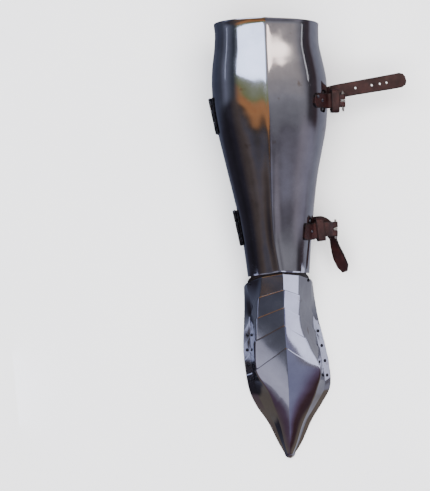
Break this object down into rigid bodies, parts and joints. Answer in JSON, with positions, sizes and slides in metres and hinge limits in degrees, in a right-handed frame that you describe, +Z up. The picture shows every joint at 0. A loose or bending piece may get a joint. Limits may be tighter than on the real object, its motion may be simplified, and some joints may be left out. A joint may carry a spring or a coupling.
{
  "type": "hinged plate greave with its articulated sabaton",
  "caption": "Closed steel greave that hinges open along one side, with leather straps and buckles on the other and a pointed lamed sabaton joined at the ankle",
  "frame": {"origin": "on the lowest facet of the calf plate, where the part rests when it lies on its back; the object lies on the plane Z = 0", "axes": "+Y along the leg towards the knee, the toe towards -Y; +Z up, towards the shin ridge; +X to the buckle side, the hinges on -X"},
  "size_m": [0.2882, 0.634, 0.1589],
  "materials": {
    "polished_steel": "mirror-polished plate steel",
    "dark_steel": "darkened steel of hinges and rivets",
    "buckle_steel": "worn satin steel",
    "leather": "dark reddish brown waxed leather"
  },
  "bodies": {
    "calf_half": {"back_plate": "polished_steel", "upper_hinge_back_leaf": "dark_steel", "upper_hinge_back_rivet_1": "dark_steel", "upper_hinge_back_rivet_2": "dark_steel", "lower_hinge_back_leaf": "dark_steel", "lower_hinge_back_rivet_1": "dark_steel", "lower_hinge_back_rivet_2": "dark_steel", "upper_long_strap": "leather", "upper_strap_rivet_1": "dark_steel", "upper_strap_rivet_2": "dark_steel", "lower_long_strap": "leather", "lower_strap_rivet_1": "dark_steel"},
    "shin_half": {"front_plate": "polished_steel", "ankle_plate": "polished_steel", "upper_hinge_front_leaf": "dark_steel", "upper_hinge_pin": "dark_steel", "upper_hinge_front_rivet_1": "dark_steel", "upper_hinge_front_rivet_2": "dark_steel", "lower_hinge_front_leaf": "dark_steel", "lower_hinge_pin": "dark_steel", "lower_hinge_front_rivet_1": "dark_steel", "lower_hinge_front_rivet_2": "dark_steel", "upper_buckle_tab": "leather", "upper_keeper": "leather", "upper_buckle_frame": "buckle_steel", "upper_tab_rivet_1": "dark_steel", "upper_tab_rivet_2": "dark_steel", "lower_buckle_tab": "leather", "lower_keeper": "leather", "lower_buckle_frame": "buckle_steel", "lower_tab_rivet_1": "dark_steel", "ankle_band": "leather", "ankle_outer_rivet": "dark_steel", "ankle_inner_rivet": "dark_steel"},
    "instep_1": {"instep_lame_1": "polished_steel", "instep_lame_1_outer_rivet": "dark_steel", "instep_lame_1_inner_rivet": "dark_steel"},
    "instep_2": {"instep_lame_2": "polished_steel", "instep_lame_2_outer_rivet": "dark_steel", "instep_lame_2_inner_rivet": "dark_steel"},
    "instep_3": {"instep_lame_3": "polished_steel", "instep_lame_3_outer_rivet": "dark_steel", "instep_lame_3_inner_rivet": "dark_steel"},
    "toe": {"toe_cap": "polished_steel", "toe_cap_outer_rivet": "dark_steel", "toe_cap_inner_rivet": "dark_steel"},
    "upper_tongue": {"upper_buckle_tongue": "buckle_steel"},
    "lower_tongue": {"lower_buckle_tongue": "buckle_steel"}
  },
  "joints": [
    {"name": "greave_hinge", "type": "hinge", "parent": "calf_half", "child": "shin_half", "pos_m": [-0.0842, 0, 0.079], "axis": [0.155, -0.9811, -0.1154], "range_deg": [0, 100]},
    {"name": "instep_1_flex", "type": "hinge", "parent": "shin_half", "child": "instep_1", "pos_m": [0, -0.334, 0.005], "axis": [1, 0, 0], "range_deg": [0, 5]},
    {"name": "instep_2_flex", "type": "hinge", "parent": "instep_1", "child": "instep_2", "pos_m": [0, -0.356, 0.005], "axis": [1, 0, 0], "range_deg": [0, 5]},
    {"name": "instep_3_flex", "type": "hinge", "parent": "instep_2", "child": "instep_3", "pos_m": [0, -0.3785, 0.005], "axis": [1, 0, 0], "range_deg": [0, 5]},
    {"name": "toe_flex", "type": "hinge", "parent": "instep_3", "child": "toe", "pos_m": [0, -0.4, 0.005], "axis": [1, 0, 0], "range_deg": [0, 4]},
    {"name": "upper_tongue_swing", "type": "hinge", "parent": "shin_half", "child": "upper_tongue", "pos_m": [0.10129, -0.0052, 0.09914], "axis": [-0.037, -0.9993, 0], "range_deg": [0, 110]},
    {"name": "lower_tongue_swing", "type": "hinge", "parent": "shin_half", "child": "lower_tongue", "pos_m": [0.0822, -0.18551, 0.07129], "axis": [-0.0421, -0.9991, 0], "range_deg": [0, 110]}
  ]
}
